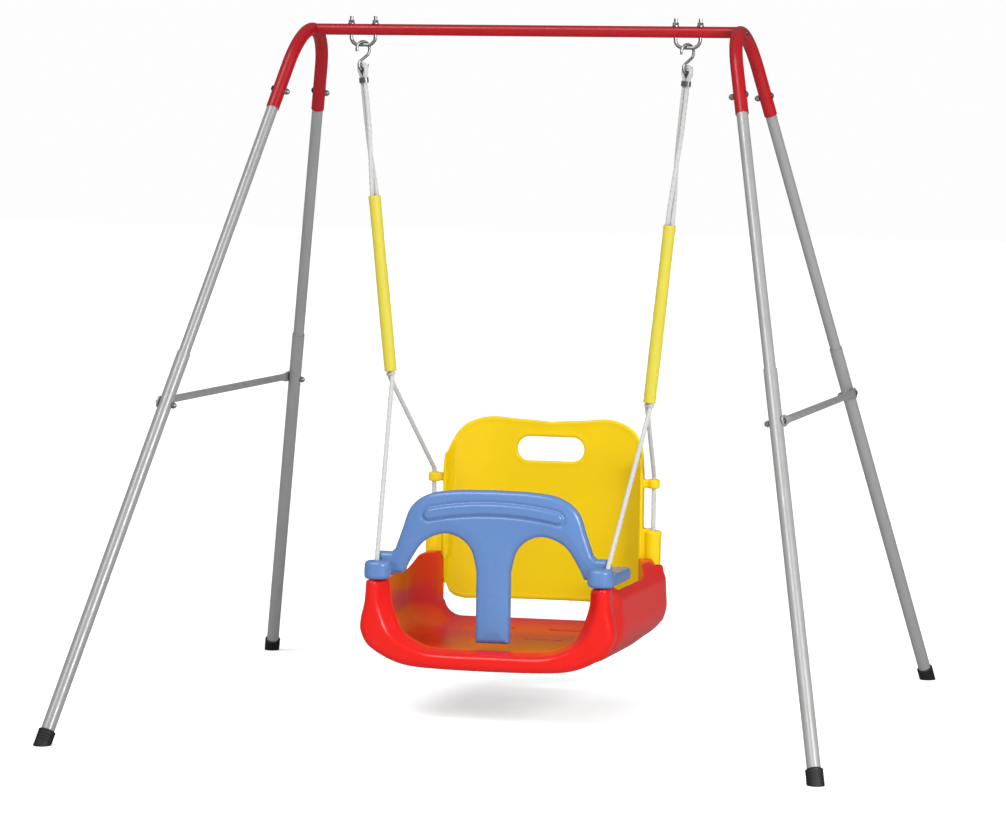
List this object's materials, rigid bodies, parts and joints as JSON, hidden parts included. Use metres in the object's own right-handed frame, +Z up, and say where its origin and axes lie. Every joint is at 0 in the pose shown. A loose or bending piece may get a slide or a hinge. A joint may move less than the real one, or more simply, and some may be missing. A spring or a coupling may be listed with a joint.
{
  "type": "toddler swing set",
  "caption": "Free-standing steel A-frame with a hanging bucket seat for a toddler: seat shell, backrest, lift-up T-bar guard, doubled ropes with hand grips, S-hooks and U-bolt hangers.",
  "frame": {"origin": "on the floor, centred under the middle of the top bar", "axes": "+X along the top bar, +Z up, the seated child faces -Y"},
  "size_m": [1.2692, 1.29, 1.1725],
  "materials": {
    "red_paint": "gloss",
    "grey_paint": "satin",
    "zinc": "zinc plated",
    "dark_zinc": "dark coated",
    "black_rubber": "matt",
    "white_rope": "braided",
    "ferrule_metal": "pressed",
    "yellow_sleeve": "soft",
    "red_plastic": "gloss",
    "yellow_plastic": "gloss",
    "blue_plastic": "gloss"
  },
  "bodies": {
    "frame": {"top_bar": "red_paint", "left_apex_bend": "red_paint", "right_apex_bend": "red_paint", "left_front_upper_leg": "grey_paint", "left_front_lower_leg": "grey_paint", "left_front_foot": "black_rubber", "left_back_upper_leg": "grey_paint", "left_back_lower_leg": "grey_paint", "left_back_foot": "black_rubber", "right_front_upper_leg": "grey_paint", "right_front_lower_leg": "grey_paint", "right_front_foot": "black_rubber", "right_back_upper_leg": "grey_paint", "right_back_lower_leg": "grey_paint", "right_back_foot": "black_rubber", "left_spreader": "grey_paint", "right_spreader": "grey_paint", "apex_bolts": "dark_zinc", "spreader_bolts": "dark_zinc", "crown_bolts": "dark_zinc", "apex_cap_nuts": "zinc", "spreader_cap_nuts": "zinc", "bar_end_plugs": "zinc", "hanger_washers": "zinc", "hanger_nuts": "zinc", "left_u_bolt": "zinc", "right_u_bolt": "zinc"},
    "left_hook": {"left_s_hook": "zinc"},
    "right_hook": {"right_s_hook": "zinc"},
    "swing": {"seat_shell": "red_plastic", "backrest": "yellow_plastic", "left_rope": "white_rope", "left_thimble": "zinc", "left_ferrule": "ferrule_metal", "left_strand_clamp": "white_rope", "right_rope": "white_rope", "right_thimble": "zinc", "right_ferrule": "ferrule_metal", "right_strand_clamp": "white_rope"},
    "guard": {"t_bar": "blue_plastic"},
    "left_hand_grip": {"left_grip": "yellow_sleeve"},
    "right_hand_grip": {"right_grip": "yellow_sleeve"}
  },
  "joints": [
    {"name": "swing_to_and_fro", "type": "hinge", "parent": "frame", "child": "swing", "pos_m": [0, 0, 1.124], "axis": [1, 0, 0], "range_deg": [-45, 45]},
    {"name": "left_hook_turn", "type": "hinge", "parent": "frame", "child": "left_hook", "pos_m": [-0.28, 0, 1.124], "axis": [1, 0, 0], "range_deg": [-45, 45]},
    {"name": "right_hook_turn", "type": "hinge", "parent": "frame", "child": "right_hook", "pos_m": [0.28, 0, 1.124], "axis": [1, 0, 0], "range_deg": [-45, 45]},
    {"name": "guard_lift", "type": "slide", "parent": "swing", "child": "guard", "axis": [0, 0.5464, 0.8375], "range_m": [0, 0.1]},
    {"name": "left_grip_slide", "type": "slide", "parent": "swing", "child": "left_hand_grip", "axis": [-0.1072, 0, 0.9942], "range_m": [0, 0.1896]},
    {"name": "right_grip_slide", "type": "slide", "parent": "swing", "child": "right_hand_grip", "axis": [0.0994, 0, 0.995], "range_m": [0, 0.2303]}
  ],
  "couplings": [
    {"joint": "left_hook_turn", "follows": "swing_to_and_fro", "ratio": 1},
    {"joint": "right_hook_turn", "follows": "swing_to_and_fro", "ratio": 1}
  ]
}
